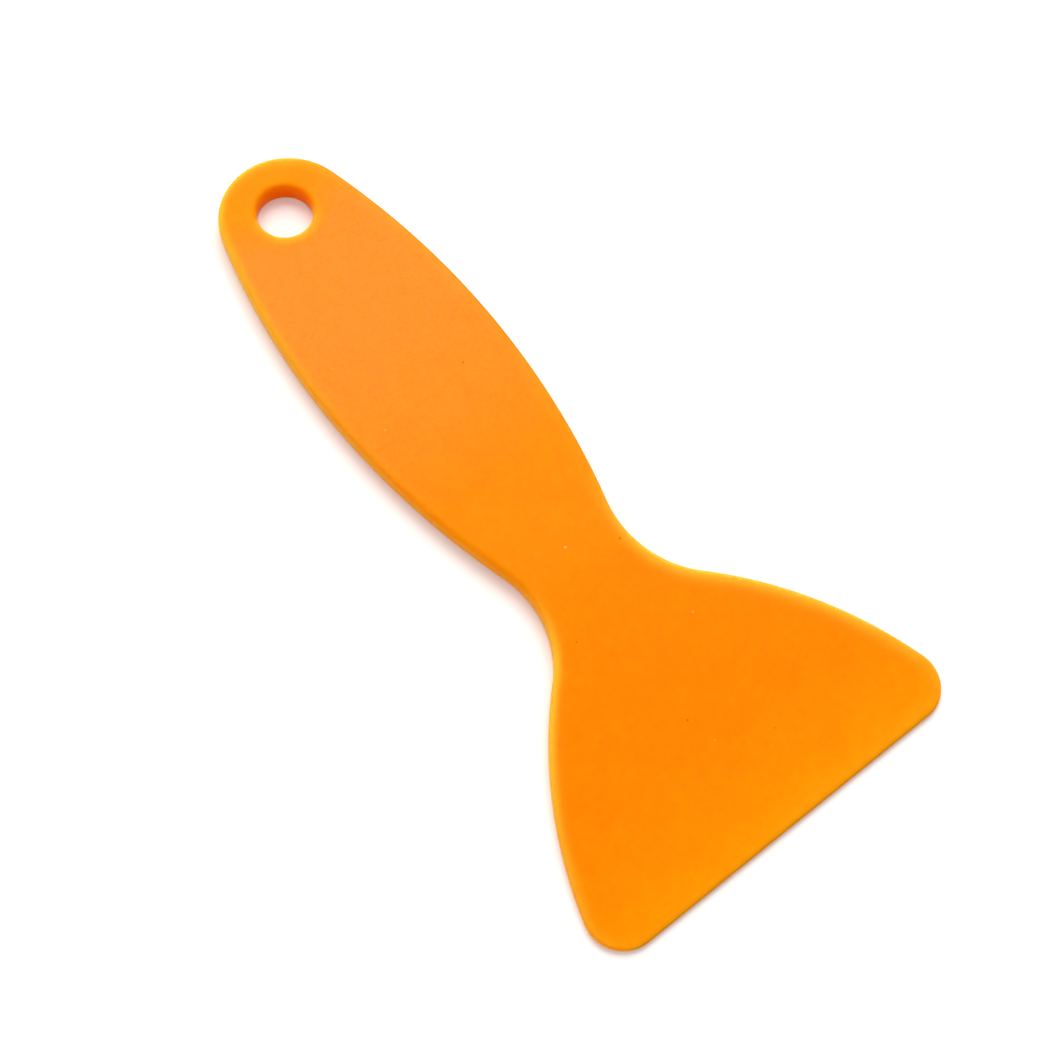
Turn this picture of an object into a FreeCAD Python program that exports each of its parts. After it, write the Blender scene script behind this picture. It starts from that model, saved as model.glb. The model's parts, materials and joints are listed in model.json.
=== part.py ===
import FreeCAD, Part
import math
import os

from FreeCAD import Vector

# A flat one-piece hand scraper, injection moulded in soft polypropylene.
# A leaf-shaped handle narrows to a waist and opens into a fish-tail blade,
# which thins from the waist down to a straight working edge.
#
# Frame: X runs along the scraper, with the handle's end at -X and the working
# edge at +X.  Y runs across it, and Z is up from the flat underside.  The origin
# lies on the underside, halfway along the length.  Sizes are in millimetres.

# ---- Plan outline -----------------------------------------------------------
overall_length = 130.0          # handle end to working edge
handle_end_radius = 10.7        # round end that carries the hang hole
handle_width = 29.6             # across the palm swell
swell_from_end = 41.2           # handle end to the widest place of the handle
neck_width = 17.8               # across the waist
neck_radius = 16.7              # hollow arc on each side of the waist
blade_width = 63.5              # across the two corners
blade_flank_radius = 66.4       # gentle outward arc from waist to corner
blade_corner_radius = 5.6       # rounded corners of the working edge

# ---- Thickness --------------------------------------------------------------
handle_thickness = 3.4
edge_thickness = 1.0            # at the working edge
taper_blend_radius = 160.0      # long curve that hides where the thinning starts
handle_rim_radius = 0.95        # rounding of the handle's top rim
edge_rim_radius = 0.42          # rounding of the same rim at the working edge
underside_rim_share = 0.63      # the bottom rim's rounding, as a share of the top rim's
rim_limit = 0.45                # most of the local thickness that one rounding takes

# ---- Hang hole --------------------------------------------------------------
hole_diameter = 8.7
hole_from_end = 9.84            # handle end to the hole's centre
hole_lip_radius = 0.85          # rounded lip at the top
hole_underside_radius = 0.40    # the same at the bottom

# ---- Ejector pin marks in the underside --------------------------------------
pin_mark_diameter = 4.0
pin_mark_depth = 0.12
handle_pin_from_end = 27.0      # handle end to the mark in the handle
blade_pins_from_edge = 17.0     # working edge to the pair of marks in the blade
blade_pins_apart = 34.0         # between the two marks of that pair

x_end = -overall_length / 2.0
x_edge = overall_length / 2.0
touching = 1e-4                 # points closer than this are the same point


def plan_centres():
    """Centres of the outline's arcs on the +Y side, each tangent to the next."""
    end = Vector(x_end + handle_end_radius, 0, 0)
    # The handle's side arc peaks at the swell and encloses the round end.
    x_swell = x_end + swell_from_end
    half = handle_width / 2.0
    reach = x_swell - end.x
    side_radius = (reach**2 + half**2 - handle_end_radius**2) / (2.0 * (half - handle_end_radius))
    side = Vector(x_swell, half - side_radius, 0)
    # The waist's hollow arc touches the side arc from outside.
    waist_y = neck_width / 2.0 + neck_radius
    span = math.sqrt((side_radius + neck_radius)**2 - (waist_y - side.y)**2)
    waist = Vector(x_swell + span, waist_y, 0)
    corner = Vector(x_edge - blade_corner_radius, blade_width / 2.0 - blade_corner_radius, 0)
    # The flank arc touches the waist arc from outside and encloses the corner.
    from_waist = blade_flank_radius + neck_radius
    from_corner = blade_flank_radius - blade_corner_radius
    towards = corner - waist
    apart = towards.Length
    towards.normalize()
    along = (from_waist**2 - from_corner**2 + apart**2) / (2.0 * apart)
    aside = math.sqrt(from_waist**2 - along**2)
    flank = waist + towards * along + Vector(towards.y, -towards.x, 0) * aside
    return end, side, side_radius, waist, flank, corner


def waist_x():
    return plan_centres()[3].x


def touch_point(centre, radius, other):
    """Where the arc about centre meets the arc about other."""
    towards = other - centre
    towards.normalize()
    return centre + towards * radius


def arc(centre, start, finish):
    """The shorter arc about centre, from start to finish."""
    bisector = (start - centre) + (finish - centre)
    bisector.normalize()
    middle = centre + bisector * (start - centre).Length
    return Part.Arc(start, middle, finish).toShape()


def line(start, finish):
    return Part.LineSegment(start, finish).toShape()


def mirrored(point):
    return Vector(point.x, -point.y, point.z)


def plan_outline():
    """The closed outline: forward along +Y, across the working edge, back along -Y."""
    end, side, side_radius, waist, flank, corner = plan_centres()
    end_side = touch_point(side, side_radius, end)
    side_waist = touch_point(side, side_radius, waist)
    waist_flank = touch_point(waist, neck_radius, flank)
    flank_corner = touch_point(flank, blade_flank_radius, corner)
    corner_edge = Vector(x_edge, corner.y, 0)
    run = [
        (side, end_side, side_waist),
        (waist, side_waist, waist_flank),
        (flank, waist_flank, flank_corner),
        (corner, flank_corner, corner_edge),
    ]
    forward = [arc(centre, start, finish) for centre, start, finish in run]
    back = [arc(mirrored(centre), mirrored(finish), mirrored(start)) for centre, start, finish in reversed(run)]
    round_end = Part.Arc(mirrored(end_side), Vector(x_end, 0, 0), end_side).toShape()
    working_edge = line(corner_edge, mirrored(corner_edge))
    return Part.Wire([round_end] + forward + [working_edge] + back)


def side_profile():
    """Section along the length: level over the handle, then a straight thinning."""
    slope = math.atan2(handle_thickness - edge_thickness, x_edge - waist_x())
    setback = taper_blend_radius * math.tan(slope / 2.0)
    top_end = Vector(x_end, 0, handle_thickness)
    blend_start = Vector(waist_x() - setback, 0, handle_thickness)
    blend_centre = blend_start - Vector(0, 0, taper_blend_radius)
    blend_end = blend_centre + Vector(math.sin(slope), 0, math.cos(slope)) * taper_blend_radius
    top_edge = Vector(x_edge, 0, edge_thickness)
    low_edge = Vector(x_edge, 0, 0)
    low_end = Vector(x_end, 0, 0)
    return Part.Wire([
        line(top_end, blend_start),
        arc(blend_centre, blend_start, blend_end),
        line(blend_end, top_edge),
        line(top_edge, low_edge),
        line(low_edge, low_end),
        line(low_end, top_end),
    ])


def tapered_blank():
    """The outline's full-height prism, thinned by the side profile."""
    prism = Part.Face(plan_outline()).extrude(Vector(0, 0, handle_thickness))
    section = Part.Face(side_profile())
    section.translate(Vector(0, -blade_width, 0))
    slab = section.extrude(Vector(0, 2.0 * blade_width, 0))
    return prism.common(slab)


def rim_radius_at(x):
    """The top rim's rounding: full on the handle, finer as the blade thins."""
    share = min(max((x - waist_x()) / (x_edge - waist_x()), 0.0), 1.0)
    thickness = handle_thickness + (edge_thickness - handle_thickness) * share
    radius = handle_rim_radius + (edge_rim_radius - handle_rim_radius) * share
    return min(radius, rim_limit * thickness)


def follows_outline(edge, outline):
    start = edge.valueAt(edge.FirstParameter)
    middle = edge.valueAt((edge.FirstParameter + edge.LastParameter) / 2.0)
    upright = math.hypot(start.x - middle.x, start.y - middle.y) < touching
    beneath = Part.Vertex(Vector(middle.x, middle.y, 0))
    return not upright and outline.distToShape(beneath)[0] < touching


def with_rounded_rims(blank):
    """Rounds the top and bottom rims in one pass, all the way round the outline."""
    outline = plan_outline()
    rims = []
    for number, edge in enumerate(blank.Edges, start=1):
        if not follows_outline(edge, outline):
            continue
        # A rim runs forward along +Y and back along -Y, and its radius with it.
        ends = sorted(vertex.X for vertex in edge.Vertexes)
        if edge.CenterOfMass.y < 0:
            ends.reverse()
        share = underside_rim_share if edge.BoundBox.ZMax < touching else 1.0
        rims.append((number, share * rim_radius_at(ends[0]), share * rim_radius_at(ends[-1])))
    document = FreeCAD.newDocument("scraper")
    source = document.addObject("Part::Feature", "blank")
    source.Shape = blank
    rounding = document.addObject("Part::Fillet", "rims")
    rounding.Base = source
    rounding.Edges = rims
    document.recompute()
    return rounding.Shape.copy()


def with_hang_hole(solid):
    centre = Vector(x_end + hole_from_end, 0, 0)
    radius = hole_diameter / 2.0
    pierced = solid.cut(Part.makeCylinder(radius, handle_thickness, centre))
    for height, lip_radius in ((handle_thickness, hole_lip_radius), (0.0, hole_underside_radius)):
        lips = []
        for edge in pierced.Edges:
            round_edge = isinstance(edge.Curve, Part.Circle) and abs(edge.Curve.Radius - radius) < touching
            if round_edge and edge.isClosed() and abs(edge.CenterOfMass.z - height) < touching:
                lips.append(edge)
        pierced = pierced.makeFillet(lip_radius, lips)
    return pierced


def with_pin_marks(solid):
    """Shallow round marks where the ejector pins push the part out of its mould."""
    x_pair = x_edge - blade_pins_from_edge
    places = [
        Vector(x_end + handle_pin_from_end, 0, 0),
        Vector(x_pair, blade_pins_apart / 2.0, 0),
        Vector(x_pair, -blade_pins_apart / 2.0, 0),
    ]
    for place in places:
        solid = solid.cut(Part.makeCylinder(pin_mark_diameter / 2.0, pin_mark_depth, place))
    return solid


def scraper_body():
    return with_pin_marks(with_hang_hole(with_rounded_rims(tapered_blank()))).Solids[0]


os.makedirs("parts", exist_ok=True)
scraper_body().exportStep("parts/scraper_body.step")
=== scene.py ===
import json
import math

import bpy
import numpy as np
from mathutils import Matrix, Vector
from mathutils.geometry import delaunay_2d_cdt


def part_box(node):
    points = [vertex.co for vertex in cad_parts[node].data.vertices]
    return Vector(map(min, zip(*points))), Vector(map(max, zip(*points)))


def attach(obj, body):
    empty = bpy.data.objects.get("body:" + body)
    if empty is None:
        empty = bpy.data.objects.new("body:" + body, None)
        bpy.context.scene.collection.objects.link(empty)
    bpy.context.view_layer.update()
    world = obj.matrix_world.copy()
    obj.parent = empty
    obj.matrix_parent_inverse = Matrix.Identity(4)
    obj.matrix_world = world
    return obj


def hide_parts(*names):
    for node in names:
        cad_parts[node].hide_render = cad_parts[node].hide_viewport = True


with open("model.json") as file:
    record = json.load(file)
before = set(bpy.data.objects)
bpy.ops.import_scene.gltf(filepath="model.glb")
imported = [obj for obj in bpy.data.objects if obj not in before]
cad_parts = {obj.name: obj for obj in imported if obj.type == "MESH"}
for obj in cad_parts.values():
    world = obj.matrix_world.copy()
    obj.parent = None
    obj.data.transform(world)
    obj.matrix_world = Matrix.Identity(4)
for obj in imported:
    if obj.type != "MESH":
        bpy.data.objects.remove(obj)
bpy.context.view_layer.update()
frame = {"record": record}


# ---- The scraper ------------------------------------------------------------
# One injection moulding in orange polypropylene: a leaf-shaped handle with a hang hole,
# a narrow waist, and a fish-tail blade that thins down to a straight working edge. Its
# rims are rounded, and three ejector pins have left round marks in its underside.
mm = 0.001
body_low, body_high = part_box("scraper_body")
x_end, x_edge = body_low.x, body_high.x
handle_end_radius = 10.7 * mm
half_handle = 14.8 * mm
swell_from_end = 41.2 * mm
half_neck = 8.9 * mm
neck_radius = 16.7 * mm
half_blade = body_high.y
blade_flank_radius = 66.4 * mm
blade_corner_radius = 5.6 * mm
handle_thickness = body_high.z
edge_thickness = 1.0 * mm
taper_blend = 4.0 * mm          # on each side of the waist, where the thinning sets in
handle_rim_radius = 0.95 * mm
edge_rim_radius = 0.42 * mm
underside_rim_share = 0.63      # the bottom rim is finer than the top rim
hole = next(mount for mount in frame["record"]["mounts"] if mount["name"] == "hang_hole")
hole_centre = np.array(hole["pos_m"][:2])
hole_radius = hole["dims"]["r_mm"] * mm
hole_lip_radius = 0.85 * mm
hole_underside_radius = 0.40 * mm
pin_mark_radius = 2.0 * mm
pin_floor_radius = 1.93 * mm    # the mark's short wall leans in by the difference
pin_mark_depth = 0.12 * mm
handle_pin_from_end = 27.0 * mm
blade_pins_from_edge = 17.0 * mm
blade_pin_from_middle = 17.0 * mm
pin_marks = [
    np.array((x_end + handle_pin_from_end, 0.0)),
    np.array((x_edge - blade_pins_from_edge, blade_pin_from_middle)),
    np.array((x_edge - blade_pins_from_edge, -blade_pin_from_middle)),
]
wall_draft = math.tan(math.radians(1.5))


def toward(start, finish):
    return (finish - start) / np.linalg.norm(finish - start)


# The arcs of the outline on the +Y side, each tangent to the next.
end_centre = np.array((x_end + handle_end_radius, 0.0))
x_swell = x_end + swell_from_end
reach = x_swell - end_centre[0]
side_radius = (reach**2 + half_handle**2 - handle_end_radius**2) / (2 * (half_handle - handle_end_radius))
side_centre = np.array((x_swell, half_handle - side_radius))
waist_y = half_neck + neck_radius
waist_x = x_swell + math.sqrt((side_radius + neck_radius)**2 - (waist_y - side_centre[1])**2)
waist_centre = np.array((waist_x, waist_y))
corner_centre = np.array((x_edge - blade_corner_radius, half_blade - blade_corner_radius))
apart = np.linalg.norm(corner_centre - waist_centre)
from_waist = blade_flank_radius + neck_radius
from_corner = blade_flank_radius - blade_corner_radius
along = (from_waist**2 - from_corner**2 + apart**2) / (2 * apart)
aside = math.sqrt(from_waist**2 - along**2)
to_corner = toward(waist_centre, corner_centre)
across = np.array((to_corner[1], -to_corner[0]))
flank_centre = waist_centre + to_corner * along + across * aside

end_start = np.array((x_end, 0.0))
end_to_side = side_centre + toward(side_centre, end_centre) * side_radius
side_to_waist = side_centre + toward(side_centre, waist_centre) * side_radius
waist_to_flank = waist_centre + toward(waist_centre, flank_centre) * neck_radius
flank_to_corner = flank_centre + toward(flank_centre, corner_centre) * blade_flank_radius
corner_to_edge = np.array((x_edge, corner_centre[1]))
edge_middle = np.array((x_edge, 0.0))
outline_spacing = 0.4 * mm


def along_arc(centre, start, finish, hollow=False):
    """Points from start up to finish, and the directions that lead out of the plastic."""
    radius = np.linalg.norm(start - centre)
    first = math.atan2(*(start - centre)[::-1])
    turn = (math.atan2(*(finish - centre)[::-1]) - first + math.pi) % (2 * math.pi) - math.pi
    count = max(2, math.ceil(abs(turn) * radius / outline_spacing))
    angles = first + turn * np.arange(count) / count
    away = np.stack((np.cos(angles), np.sin(angles)), axis=1)
    return centre + away * radius, -away if hollow else away


def along_edge(start, finish):
    count = math.ceil(np.linalg.norm(finish - start) / outline_spacing)
    points = start + (finish - start) * (np.arange(count) / count)[:, None]
    return points, np.tile((1.0, 0.0), (count, 1))


runs = [
    along_arc(end_centre, end_start, end_to_side),
    along_arc(side_centre, end_to_side, side_to_waist),
    along_arc(waist_centre, side_to_waist, waist_to_flank, hollow=True),
    along_arc(flank_centre, waist_to_flank, flank_to_corner),
    along_arc(corner_centre, flank_to_corner, corner_to_edge),
    along_edge(corner_to_edge, edge_middle),
    (edge_middle[None], np.array([[1.0, 0.0]])),
]
upper = np.concatenate([points for points, away in runs])
upper_away = np.concatenate([away for points, away in runs])
mirror = np.array((1.0, -1.0))
# Taken back along -Y first, the outline runs anticlockwise, with the plastic on its left.
outline = np.concatenate((upper[:1], (upper * mirror)[1:], upper[-2:0:-1]))
outline_away = np.concatenate((upper_away[:1], (upper_away * mirror)[1:], upper_away[-2:0:-1]))


def rim_radius_at(x):
    share = np.clip((x - waist_x) / (x_edge - waist_x), 0.0, 1.0)
    return handle_rim_radius + (edge_rim_radius - handle_rim_radius) * share


def to_outline(points):
    """Distance from each point to the nearest point of the outline, worked out in batches."""
    batches = 60
    parts = np.array_split(points, batches)
    return np.concatenate([np.linalg.norm(part[:, None] - outline, axis=2).min(axis=1) for part in parts])


def to_rims(points):
    """Distance from each point to the outline or the hang hole, whichever is nearer."""
    return np.minimum(to_outline(points), np.linalg.norm(points - hole_centre, axis=1) - hole_radius)


def inside_outline(points):
    """Whether each point is inside, from how often a line to its right meets the outline."""
    meetings = np.zeros(len(points), dtype=int)
    for (x0, y0), (x1, y1) in zip(outline, np.roll(outline, -1, axis=0)):
        if y0 != y1:
            share = (points[:, 1] - y0) / (y1 - y0)
            meetings += (share >= 0.0) & (share < 1.0) & (x0 + share * (x1 - x0) > points[:, 0])
    return meetings % 2 == 1


class PlanSheet:
    """The scraper's plan as one flat sheet, with the facts that its points carry."""

    bend_steps = 8                      # rings round the bend of a rim
    flat_rings = (0.3 * mm, 0.8 * mm)   # and two on the flat, this far past the bend
    # Points on the flats lie further in than any rounding, so these radii move none of them.
    usual = {
        "inset": 0.0,
        "rounding": handle_rim_radius,
        "rounding_below": edge_rim_radius,
        "pin_mark": 0.0,
        "outward": (0.0, 0.0, 0.0),
    }

    def __init__(self):
        self.points, self.faces = [], []
        self.facts = {name: [] for name in self.usual}

    def add(self, points, **facts):
        """Adds points with these facts, or the usual ones, and gives the points' numbers."""
        first = len(self.points)
        self.points += [tuple(point) for point in points]
        for name, usual in self.usual.items():
            self.facts[name] += list(np.broadcast_to(facts.get(name, usual), (len(points), *np.shape(usual))))
        return list(range(first, len(self.points)))

    def band(self, outer, inner):
        """Faces between two rings that both run with the second on their left."""
        for i in range(len(outer)):
            j = (i + 1) % len(outer)
            self.faces.append((outer[i], outer[j], inner[j], inner[i]))

    def rim(self, points, away, radius, radius_below):
        """Rings from a rim inwards: close together round the bend, then two on the flat."""
        quarter_turn = math.pi / 2
        insets = [
            radius * (1 - math.cos(quarter_turn * step / self.bend_steps))
            for step in range(self.bend_steps + 1)
        ]
        insets += [radius + extra for extra in self.flat_rings]
        outward = np.column_stack((away, np.zeros(len(away))))
        rings = [
            self.add(points - away * inset[:, None], inset=inset, rounding=radius,
                     rounding_below=radius_below, outward=outward)
            for inset in insets
        ]
        for outer, inner in zip(rings, rings[1:]):
            self.band(outer, inner)
        return rings[-1]


def clockwise(sides):
    """Directions once round a circle, clockwise."""
    turns = -2 * math.pi * np.arange(sides) / sides
    return np.stack((np.cos(turns), np.sin(turns)), axis=1)


sheet = PlanSheet()
top_rims = rim_radius_at(outline[:, 0])
inner_loop = sheet.rim(outline, outline_away, top_rims, top_rims * underside_rim_share)

# Round the hang hole the plastic lies outside, so the ring runs clockwise.
hole_sides = 96
round_hole = clockwise(hole_sides)
hole_rim = hole_centre + round_hole * hole_radius
hole_lips = np.full(hole_sides, hole_lip_radius)
hole_loop = sheet.rim(hole_rim, -round_hole, hole_lips, hole_underside_radius)

# A pin mark has a ring on the flat round it, its rim, its floor's edge and a ring on its floor.
pin_sides = 48
round_pin = clockwise(pin_sides)
pin_collar_radius = 2.25 * mm
pin_core_radius = 1.7 * mm
pin_rings = (
    (pin_collar_radius, 0.0),
    (pin_mark_radius, 0.0),
    (pin_floor_radius, 1.0),
    (pin_core_radius, 1.0),
)
pin_outer_loops, pin_inner_loops = [], []
for centre in pin_marks:
    rings = []
    for radius, sunk in pin_rings:
        points = centre + round_pin * radius
        rings.append(sheet.add(points, inset=to_rims(points), pin_mark=sunk))
    # The rings run clockwise, so each band is named from the inside out.
    for outer, inner in zip(rings, rings[1:]):
        sheet.band(inner, outer)
    pin_outer_loops.append(rings[0])
    pin_inner_loops.append(rings[-1])

# A triangular lattice fills the flats between the rings.
lattice_spacing = 1.25 * mm
clear_of_rings = 0.5 * lattice_spacing
rows = np.arange(-half_blade, half_blade, lattice_spacing * math.sqrt(3) / 2)
lattice = np.array([
    (x, y)
    for row, y in enumerate(rows)
    for x in np.arange(x_end + (row % 2) * lattice_spacing / 2, x_edge, lattice_spacing)
])
lattice = lattice[inside_outline(lattice)]
clearance = rim_radius_at(lattice[:, 0]) + PlanSheet.flat_rings[-1] + clear_of_rings
lattice = lattice[to_rims(lattice) > clearance]
for centre in pin_marks:
    from_pin = np.linalg.norm(lattice - centre, axis=1)
    past_collar = from_pin > pin_collar_radius + clear_of_rings
    lattice = lattice[past_collar | (from_pin < pin_core_radius - clear_of_rings)]
in_mark = np.any([np.linalg.norm(lattice - centre, axis=1) < pin_mark_radius for centre in pin_marks], axis=0)
for chosen, sunk in ((lattice[~in_mark], 0.0), (lattice[in_mark], 1.0)):
    sheet.add(chosen, inset=to_rims(chosen), pin_mark=sunk)

# The flats are triangulated between those loops; the rings' own ground is left out.
loops = [inner_loop, hole_loop] + pin_outer_loops + pin_inner_loops
on_loops = sorted(set(sum(loops, [])))
first_lattice = len(sheet.points) - len(lattice)
used = on_loops + list(range(first_lattice, len(sheet.points)))
place_of = {number: place for place, number in enumerate(used)}
loop_edges = [
    (place_of[loop[i]], place_of[loop[(i + 1) % len(loop)]])
    for loop in loops
    for i in range(len(loop))
]
same_point = 1e-5               # in millimetres, as the corners handed over here are
flat_points = [Vector(sheet.points[number]) / mm for number in used]
corners, _, triangles, came_from, _, _ = delaunay_2d_cdt(flat_points, loop_edges, [], 1, same_point)
middles = np.array([sum((corners[i] for i in face), Vector((0, 0))) / len(face) for face in triangles]) * mm
hole_ring_radius = hole_radius + hole_lip_radius + PlanSheet.flat_rings[-1]
on_flats = np.linalg.norm(middles - hole_centre, axis=1) > hole_ring_radius
collar_side = 0.005 * mm        # the collar's straight sides pass this far inside its circle
for centre in pin_marks:
    from_pin = np.linalg.norm(middles - centre, axis=1)
    on_flats &= (from_pin > pin_collar_radius - collar_side) | (from_pin < pin_core_radius)
for face, kept in zip(triangles, on_flats):
    if kept:
        sheet.faces.append(tuple(used[came_from[i][0]] for i in face))

sheet.facts["from_outline"] = to_outline(np.array(sheet.points))
plan = bpy.data.meshes.new("scraper_plan")
plan.from_pydata([(x, y, 0.0) for x, y in sheet.points], [], sheet.faces)
for name, fact in sheet.facts.items():
    values = np.array(fact, np.float32)
    kind, field = ("FLOAT_VECTOR", "vector") if values.ndim == 2 else ("FLOAT", "value")
    plan.attributes.new(name, kind, "POINT").data.foreach_set(field, values.ravel())


class Field:
    """A socket of a node tree. Arithmetic on it adds Math nodes, and node() adds any other."""

    def __init__(self, tree, socket=None):
        self.tree = tree
        self.socket = socket

    def node(self, kind, settings=None, sockets=None, output=0):
        """Adds a node: its settings first, then the values or links of its sockets."""
        added = self.tree.nodes.new(kind)
        for name, value in (settings or {}).items():
            if name == "stops":
                self.set_stops(added.color_ramp, value)
            else:
                setattr(added, name, value)
        for name, value in (sockets or {}).items():
            for item in value if isinstance(value, list) else [value]:
                if isinstance(item, Field):
                    self.tree.links.new(item.socket, added.inputs[name])
                else:
                    added.inputs[name].default_value = item
        return Field(self.tree, added.outputs[output] if len(added.outputs) else None)

    def set_stops(self, ramp, stops):
        while len(ramp.elements) < len(stops):
            ramp.elements.new(1.0)
        for element, (position, colour) in zip(ramp.elements, stops):
            element.position = position
            element.color = colour

    def out(self, name):
        """Another output of the node that this socket is on."""
        return Field(self.tree, self.socket.node.outputs[name])

    def math(self, operation, *values, clamp=False):
        settings = {"operation": operation, "use_clamp": clamp}
        return self.node("ShaderNodeMath", settings, dict(enumerate(values)))

    def at_least(self, other):
        return self.math("MAXIMUM", self, other)

    def at_most(self, other):
        return self.math("MINIMUM", self, other)

    def ramped(self, full):
        """0 up to 0, then rising evenly to 1 where this field reaches full."""
        return self.math("MULTIPLY", self, 1.0 / full, clamp=True)

    def __add__(self, other):
        return self.math("ADD", self, other)

    __radd__ = __add__

    def __sub__(self, other):
        return self.math("SUBTRACT", self, other)

    def __rsub__(self, other):
        return self.math("SUBTRACT", other, self)

    def __mul__(self, other):
        return self.math("MULTIPLY", self, other)

    __rmul__ = __mul__

    def __truediv__(self, other):
        return self.math("DIVIDE", self, other)

    def __rtruediv__(self, other):
        return self.math("DIVIDE", other, self)

    def __pow__(self, other):
        return self.math("POWER", self, other)

    def __rpow__(self, other):
        return self.math("POWER", other, self)


# The moulding's shape follows a rule: the plan is raised to a parting line and to a top,
# and each point is then set at the height and draft that the mould has there.
moulding = bpy.data.node_groups.new("moulding", "GeometryNodeTree")
inputs = {}
for name, kind in (
    ("Plan", "NodeSocketGeometry"),
    ("Handle Thickness", "NodeSocketFloat"),
    ("Edge Thickness", "NodeSocketFloat"),
    ("Waist", "NodeSocketFloat"),
    ("Working Edge", "NodeSocketFloat"),
    ("Taper Blend", "NodeSocketFloat"),
    ("Wall Draft", "NodeSocketFloat"),
    ("Pin Mark Depth", "NodeSocketFloat"),
    ("Plastic", "NodeSocketMaterial"),
):
    inputs[name] = moulding.interface.new_socket(name, in_out="INPUT", socket_type=kind)
moulding.interface.new_socket("Scraper", in_out="OUTPUT", socket_type="NodeSocketGeometry")
tool = Field(moulding)
group_input = tool.node("NodeGroupInput")
given = {name: group_input.out(name) for name in inputs}

# The sheet stands at level 0 for the underside, 1 for the parting line and 2 for the top.
straight_up = tool.node("ShaderNodeCombineXYZ", {}, {"X": 0.0, "Y": 0.0, "Z": 1.0})
one_level_up = {"Offset": straight_up, "Offset Scale": 1.0, "Individual": False}
to_parting = tool.node("GeometryNodeExtrudeMesh", {"mode": "FACES"}, {
    "Mesh": given["Plan"],
    **one_level_up,
})
to_top = tool.node("GeometryNodeExtrudeMesh", {"mode": "FACES"}, {
    "Mesh": to_parting,
    "Selection": to_parting.out("Top"),
    **one_level_up,
})
underside = tool.node("GeometryNodeFlipFaces", {}, {"Mesh": given["Plan"]})
closed = tool.node("GeometryNodeJoinGeometry", {}, {"Geometry": [underside, to_top]})
weld_distance = 1e-7
welded = tool.node("GeometryNodeMergeByDistance", {}, {"Geometry": closed, "Distance": weld_distance})


def carried(name, kind="FLOAT"):
    return tool.node("GeometryNodeInputNamedAttribute", {"data_type": kind}, {"Name": name})


def split(tree, vector):
    """The X, Y and Z of a vector."""
    parts = tree.node("ShaderNodeSeparateXYZ", {}, {"Vector": vector})
    return [parts.out(axis) for axis in "XYZ"]


x, y, level = split(tool, tool.node("GeometryNodeInputPosition"))
on_top = (level - 1.0).at_least(0.0)
on_base = (1.0 - level).at_least(0.0)
on_parting = 1.0 - on_top - on_base

past_waist = x - given["Waist"]
blend = given["Taper Blend"]
slope = (given["Handle Thickness"] - given["Edge Thickness"]) / (given["Working Edge"] - given["Waist"])
in_blend = (past_waist + blend).at_least(0.0).at_most(2.0 * blend)
thinned = in_blend * in_blend / (4.0 * blend) + (past_waist - blend).at_least(0.0)
thickness = given["Handle Thickness"] - slope * thinned


def rounded(radius):
    """How far the rounding of this radius falls away from the flat, and its share still to go."""
    from_flat = radius - carried("inset").at_most(radius)
    return radius - tool.math("SQRT", radius * radius - from_flat * from_flat), from_flat / radius


top_drop, top_bend = rounded(carried("rounding"))
base_drop, base_bend = rounded(carried("rounding_below"))
base_height = base_drop + carried("pin_mark") * given["Pin Mark Depth"]
parting_height = thickness * 0.5
height = on_base * base_height + on_parting * parting_height + on_top * (thickness - top_drop)
draft = given["Wall Draft"] * (
    on_top * top_bend * (parting_height - carried("rounding"))
    + on_base * base_bend * (parting_height - carried("rounding_below"))
)
away_x, away_y, _ = split(tool, carried("outward", "FLOAT_VECTOR"))
moulded_place = tool.node("ShaderNodeCombineXYZ", {}, {
    "X": x - away_x * draft,
    "Y": y - away_y * draft,
    "Z": height,
})
shaped = tool.node("GeometryNodeSetPosition", {}, {"Geometry": welded, "Position": moulded_place})
smooth = tool.node("GeometryNodeSetShadeSmooth", {}, {"Geometry": shaped, "Shade Smooth": True})
real = tool.node("GeometryNodeRealizeInstances", {}, {"Geometry": smooth})
finished = tool.node("GeometryNodeSetMaterial", {}, {"Geometry": real, "Material": given["Plastic"]})
tool.node("NodeGroupOutput", {}, {"Scraper": finished})


def cleared(owner):
    """The node tree of a material or a world, with its usual nodes taken out."""
    owner.use_nodes = True
    owner.node_tree.nodes.clear()
    return Field(owner.node_tree)


plastic = bpy.data.materials.new("orange_polypropylene")
orange = cleared(plastic)
place = orange.node("ShaderNodeTexCoord", output="Object")
place_x, place_y, place_z = split(orange, place)
depth_in = orange.node("ShaderNodeAttribute", {"attribute_name": "from_outline"}, output="Fac")
from_hole_x = place_x - float(hole_centre[0])
from_hole_y = place_y - float(hole_centre[1])
from_hole_centre = orange.math("SQRT", from_hole_x * from_hole_x + from_hole_y * from_hole_y)
from_hole = from_hole_centre - hole_radius


def cloud(size, detail=2.0):
    """Soft noise about 0, with features of this size."""
    sockets = {"Vector": place, "Scale": 1.0 / size, "Detail": detail, "Roughness": 0.5}
    return orange.node("ShaderNodeTexNoise", {}, sockets) - 0.5


def tint(weight, under, over):
    """One colour over another by weight."""
    settings = {"data_type": "RGBA", "clamp_factor": True}
    return orange.node("ShaderNodeMix", settings, {0: weight, 6: under, 7: over}, output=2)


def along_length(*stops):
    """A share that changes along the scraper, from (share of the length, value) stops."""
    place_along = (place_x - x_end) / (x_edge - x_end)
    greys = [(position, (value, value, value, 1.0)) for position, value in stops]
    return orange.node("ShaderNodeValToRGB", {"stops": greys}, {"Fac": place_along})


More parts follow.
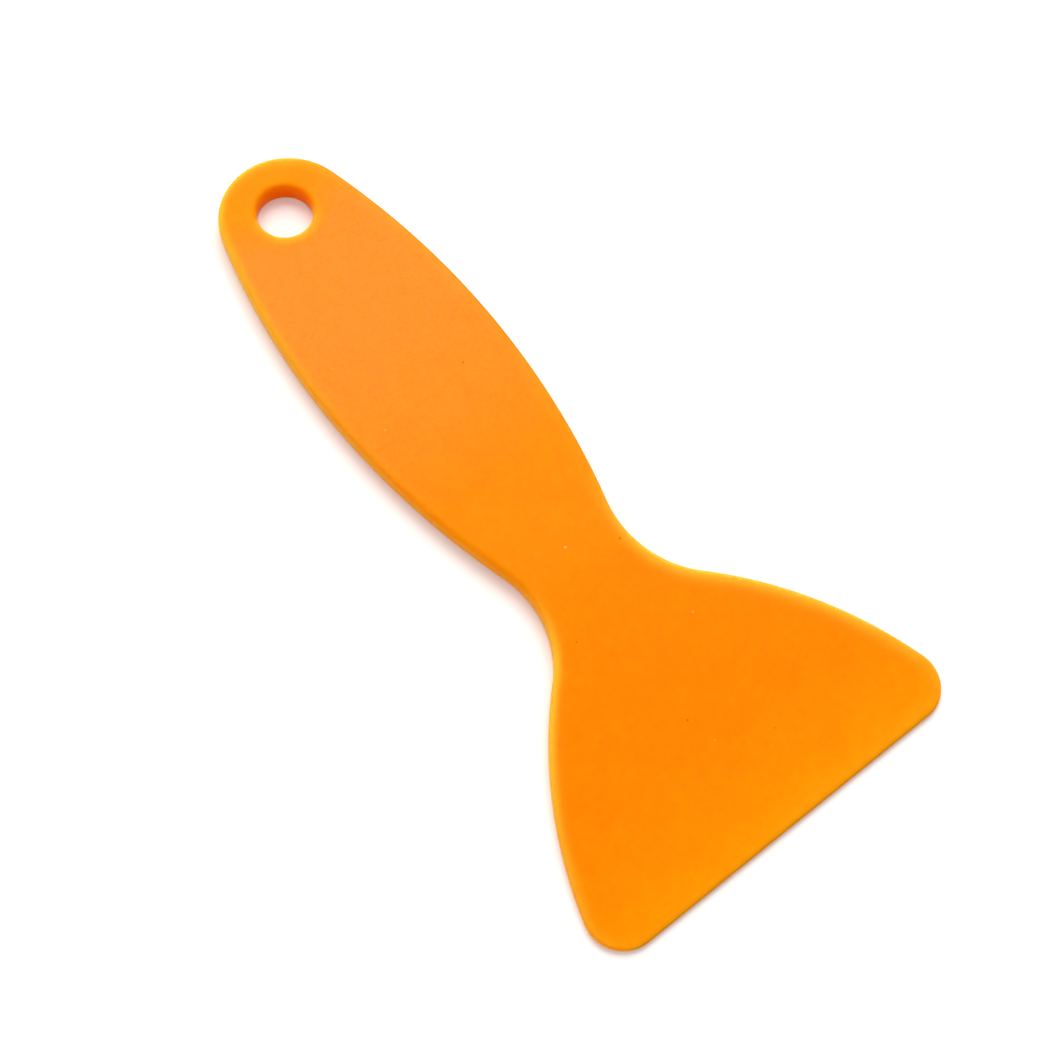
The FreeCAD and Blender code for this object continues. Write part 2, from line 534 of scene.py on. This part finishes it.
# The plastic is orange right through, deepest in the middle of the blade and lighter towards
# the working edge. A sheen is painted onto the palm: it is paler and pinker, and its fine mottle is stronger.
deep = (0.99, 0.245, 0.0, 1.0)
light = (1.0, 0.320, 0.0, 1.0)
painted_sheen = (1.0, 0.284, 0.026, 1.0)
flat_from_rim = 1.2 * mm        # past the rims' rounding everywhere
painted_sheen_from_hole = 3.5 * mm       # the painted sheen fades out over this width round the hole
fine_mottle_share = 0.4
more_in_painted_sheen = 2.0
# Where the painted sheen lies: on the palm's flat, fading out towards the waist, the hole and the rims.
painted_sheen_share = along_length((0.05, 0.0), (0.12, 1.0), (0.25, 0.9), (0.4, 0.4), (0.5, 0.0))
painted_sheen_share = painted_sheen_share * from_hole.ramped(painted_sheen_from_hole) * depth_in.ramped(flat_from_rim)
coarse_mottle = cloud(5.0 * mm) * 0.5 + cloud(1.6 * mm) * 0.4
fine_mottle = cloud(0.5 * mm) + cloud(0.25 * mm)
mottle = coarse_mottle + fine_mottle * (fine_mottle_share + more_in_painted_sheen * painted_sheen_share)
paling = along_length(
    (0.0, 0.6), (0.3, 0.3), (0.6, 0.3), (0.75, 0.05), (0.87, 0.05), (0.95, 0.5), (1.0, 1.0),
)
colour = tint(paling + mottle, deep, light)
colour = tint(painted_sheen_share * (1.0 + mottle), colour, painted_sheen)

# A painted glow stands in for light that comes through the plastic at its rims and turns them
# golden, most of all round the handle's end and along the blade's flanks, and least in the wall between the
# two rims.
painted_glow = (1.0, 0.57, 0.04, 1.0)
glow_width_plus_y = 1.5 * mm
glow_width_minus_y = 0.95 * mm
least_glow_minus_y = 0.3        # half way up the wall, as a share of the glow at its rims
side_change = 10.0 * mm         # one side's rim passes into the other's over this width
waist_share = float((waist_x - x_end) / (x_edge - x_end))
thinning = along_length((waist_share, 1.0), (1.0, edge_thickness / handle_thickness))
height_share = place_z / (thinning * handle_thickness)
from_middle = orange.math("ABSOLUTE", height_share - 0.5) * 2.0
on_plus_y = (place_y + 0.5 * side_change).ramped(side_change)


def near_rim(width):
    """A bell curve that is 1 at the outline and fades inwards over this width."""
    return math.e ** (depth_in * depth_in / -(width**2))


glow_plus_y = along_length(
    (0.0, 0.8), (0.05, 0.3), (0.10, 0.14), (0.55, 0.12),
    (0.68, 0.84), (0.86, 0.76), (0.94, 0.46), (1.0, 0.05),
) * near_rim(glow_width_plus_y) * from_middle ** 2.0
glow_minus_y = along_length(
    (0.0, 0.9), (0.05, 0.75), (0.10, 0.6), (0.2, 0.5), (0.30, 0.32), (0.38, 0.2), (0.5, 0.06),
    (0.62, 0.06), (0.71, 0.88), (0.78, 0.85), (0.86, 0.55), (0.95, 0.35), (1.0, 0.05),
) * near_rim(glow_width_minus_y) * (least_glow_minus_y + (1.0 - least_glow_minus_y) * from_middle)
colour = tint(glow_plus_y * on_plus_y + glow_minus_y * (1.0 - on_plus_y), colour, painted_glow)


# The hang hole's wall is painted with shade, a deeper red, most of all low down and on the side
# of the handle's end, which is turned away from the lamp. A glow is painted on the hole's lip on the blade's
# side.
def round_hole_toward(x_part, y_part):
    """From -1 to 1 round the hang hole, highest in this direction from its centre."""
    return (from_hole_x * x_part + from_hole_y * y_part) / from_hole_centre


shaded = (0.92, 0.14, 0.0, 1.0)
shade_all_round = 0.55
shade_by_side = 0.4
shade_at_foot = 1.1
shade_by_height = 0.4
glowing_lip = 1.9 * mm
glow_all_round = 0.2
lip_strength = 0.58
in_hole = 1.0 - from_hole.ramped(hole_lip_radius)
wall_shade = shade_all_round - shade_by_side * round_hole_toward(0.78, -0.62)
wall_shade = wall_shade * (shade_at_foot - place_z / handle_thickness * shade_by_height)
colour = tint(in_hole ** 2.0 * wall_shade, colour, shaded)
# The painted glow on the hole's lip, strongest on the blade's side.
lip_glow = (1.0 - from_hole.ramped(glowing_lip)) * (round_hole_toward(0.95, -0.31) + glow_all_round)
colour = tint(lip_glow * lip_strength, colour, painted_glow)

# A few dark and pale specks lie in the flat faces. A cell of the plan has a speck where the
# cell's own draw passes a limit, and the speck is larger the further the draw passes it.
dark_speck = (0.50, 0.08, 0.0, 1.0)
pale_speck = (1.0, 0.62, 0.25, 1.0)
speck_cell = 9.0 * mm
draw_limit = 0.75
size_past_limit = 0.8 * mm
speck_strength = 0.6
cell = {"Vector": place, "Scale": 1.0 / speck_cell}
to_middle = orange.node("ShaderNodeTexVoronoi", {"voronoi_dimensions": "2D"}, cell, output="Distance")
draw = orange.node("ShaderNodeSeparateColor", {}, {"Color": to_middle.out("Color")})
on_flat = orange.math("GREATER_THAN", depth_in, flat_from_rim)
for channel, speck in (("Red", dark_speck), ("Green", pale_speck)):
    speck_size = (draw.out(channel) - draw_limit).at_least(0.0) * size_past_limit
    in_speck = orange.math("LESS_THAN", to_middle * speck_cell, speck_size)
    colour = tint(in_speck * on_flat * speck_strength, colour, speck)

# The surface is satin, with a fine grain from the mould and a slight, wide unevenness.
satin_roughness = 0.30
satin = cloud(3.0 * mm) * 0.10 + cloud(0.5 * mm) * 0.08 + satin_roughness
grain = cloud(0.22 * mm, detail=3.0) * 0.6 + cloud(6.0 * mm) * 4.0
relief = orange.node("ShaderNodeBump", {}, {"Strength": 0.35, "Distance": 0.02 * mm, "Height": grain})
plastic_bsdf = orange.node("ShaderNodeBsdfPrincipled", {"subsurface_method": "RANDOM_WALK"}, {
    "Base Color": colour,
    "Roughness": satin,
    "Normal": relief,
    "IOR": 1.49,
    "Specular IOR Level": 0.02,
    "Subsurface Weight": 1.0,
    "Subsurface Radius": (1.0, 0.3, 0.1),
    "Subsurface Scale": 0.8 * mm,
})

# Painted shade darkens the top of the handle's +Y rim in a thin line, and the working edge.
painted_shade = orange.node("ShaderNodeBsdfDiffuse", {}, {"Color": (0.52, 0.18, 0.002, 1.0)})
rim_shade_to = 0.75 * mm           # from the outline inwards
rim_shade_fade = 0.4 * mm
rim_shade_strength = 0.75
top_of_wall = 0.72              # share of the thickness where the rim's top begins
top_fade = 0.1
edge_shade_from_edge = 0.9 * mm
edge_shade_fade = 0.7 * mm
edge_shade_strength = 0.4
shaded_far_rim = (rim_shade_to - depth_in).ramped(rim_shade_fade) * on_plus_y
shaded_far_rim = shaded_far_rim * (height_share - top_of_wall).ramped(top_fade)
shaded_far_rim = shaded_far_rim * along_length((0.02, 0.0), (0.06, 1.0), (0.35, 1.0), (0.55, 0.5), (0.66, 0.0))
shaded_working_edge = (place_x - (x_edge - edge_shade_from_edge)).ramped(edge_shade_fade)
# The painted shade's share of the surface, on the far rim and along the working edge.
painted_shade_share = (shaded_far_rim * rim_shade_strength).at_least(shaded_working_edge * edge_shade_strength)
plastic_with_painted_shade = orange.node("ShaderNodeMixShader", {}, {0: painted_shade_share, 1: plastic_bsdf, 2: painted_shade})
orange.node("ShaderNodeOutputMaterial", {}, {"Surface": plastic_with_painted_shade})


def placed(name, data):
    """A new object of this data, in the scene."""
    made = bpy.data.objects.new(name, data)
    bpy.context.scene.collection.objects.link(made)
    return made


scraper = placed("scraper", plan)
press = scraper.modifiers.new("moulding", "NODES")
press.node_group = moulding
for name, value in (
    ("Handle Thickness", handle_thickness),
    ("Edge Thickness", edge_thickness),
    ("Waist", waist_x),
    ("Working Edge", x_edge),
    ("Taper Blend", taper_blend),
    ("Wall Draft", wall_draft),
    ("Pin Mark Depth", pin_mark_depth),
    ("Plastic", plastic),
):
    press[inputs[name].identifier] = value
depsgraph = bpy.context.evaluated_depsgraph_get()
pressed = bpy.data.meshes.new_from_object(scraper.evaluated_get(depsgraph), depsgraph=depsgraph)
scraper.modifiers.remove(press)
scraper.data = pressed
for name in ("rounding", "rounding_below", "pin_mark", "outward"):
    pressed.attributes.remove(pressed.attributes[name])
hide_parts("scraper_body")
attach(scraper, "root")


# ---- The table --------------------------------------------------------------
# A plain white table top, much larger than the view, that lies just beneath the scraper and
# takes its shadow. Its own light, which only the eye and reflections see, is faint beside the
# scraper and grows to full white further off.
half_table = 6.0
under_scraper = 0.02 * mm
own_light = 0.13
own_light_grows_from = 0.15
own_light_grows_over = 0.35
table_top = bpy.data.meshes.new("table_top")
table_top.from_pydata([
    (-half_table, -half_table, 0),
    (half_table, -half_table, 0),
    (half_table, half_table, 0),
    (-half_table, half_table, 0),
], [], [(0, 1, 2, 3)])
table = placed("table", table_top)
table.location.z = -under_scraper
white = bpy.data.materials.new("white_table")
paint = cleared(white)
ray = paint.node("ShaderNodeLightPath", output="Is Camera Ray")
seen = ray.at_least(ray.out("Is Glossy Ray")).at_least(ray.out("Is Transmission Ray"))
matt = paint.node("ShaderNodeBsdfDiffuse", {}, {"Color": (0.88, 0.84, 0.82, 1.0)})
spot = paint.node("ShaderNodeTexCoord", output="Object")
from_scraper = paint.node("ShaderNodeVectorMath", {"operation": "LENGTH"}, {0: spot}, output="Value")
far_off = (from_scraper - own_light_grows_from).ramped(own_light_grows_over)
lifted = paint.node("ShaderNodeEmission", {}, {
    "Color": (1.0, 1.0, 1.0, 1.0),
    "Strength": seen * (own_light + (1.0 - own_light) * far_off),
})
both = paint.node("ShaderNodeAddShader", {}, {0: matt, 1: lifted})
paint.node("ShaderNodeOutputMaterial", {}, {"Surface": both})
table_top.materials.append(white)


# ---- The light --------------------------------------------------------------
# A broad soft panel stands beyond the handle's end and to its +Y side, a little over half way
# up. A pale room fills in, brighter near the horizon than overhead, and brightest on the -Y side.
panel = bpy.data.lights.new("soft_panel", "AREA")
panel.shape = "RECTANGLE"
panel.size = 1.5
panel.size_y = 1.2
panel.energy = 26.8
panel_azimuth = math.radians(143.1)
panel_elevation = math.radians(51.0)
panel_distance = 1.6
lamp = placed("soft_panel", panel)
lamp.location = panel_distance * Vector((
    math.cos(panel_azimuth) * math.cos(panel_elevation),
    math.sin(panel_azimuth) * math.cos(panel_elevation),
    math.sin(panel_elevation),
))
lamp.rotation_euler = lamp.location.to_track_quat("Z", "Y").to_euler()

room = bpy.data.worlds.new("pale_room")
walls = cleared(room)
bpy.context.scene.world = room
direction = walls.node("ShaderNodeTexCoord", output="Generated")
_, sideways, upward = split(walls, direction)
at_horizon = 0.78
less_overhead = 0.42
more_on_minus_y = 0.25
brightness = at_horizon - less_overhead * upward.at_least(0.0) - more_on_minus_y * sideways.at_most(0.0)
brightness = brightness.at_least(walls.node("ShaderNodeLightPath", output="Is Camera Ray"))
backdrop = walls.node("ShaderNodeBackground", {}, {"Color": (1.0, 1.0, 1.0, 1.0), "Strength": brightness})
walls.node("ShaderNodeOutputWorld", {}, {"Surface": backdrop})


# ---- The camera -------------------------------------------------------------
# It stands above the blade's -Y side and looks down at the scraper, which lies askew. The
# plain view transform shows each colour about as it is written.
lens = bpy.data.cameras.new("camera")
lens.sensor_width = 36.0
lens.lens = 63.03
lens.clip_start = 1 * mm
camera = placed("camera", lens)
camera.location = Vector((78.26, -78.67, 251.33)) * mm
camera.rotation_euler = [math.radians(angle) for angle in (22.198, -3.860, 51.627)]
bpy.context.scene.camera = camera
bpy.context.scene.view_settings.view_transform = "Standard"
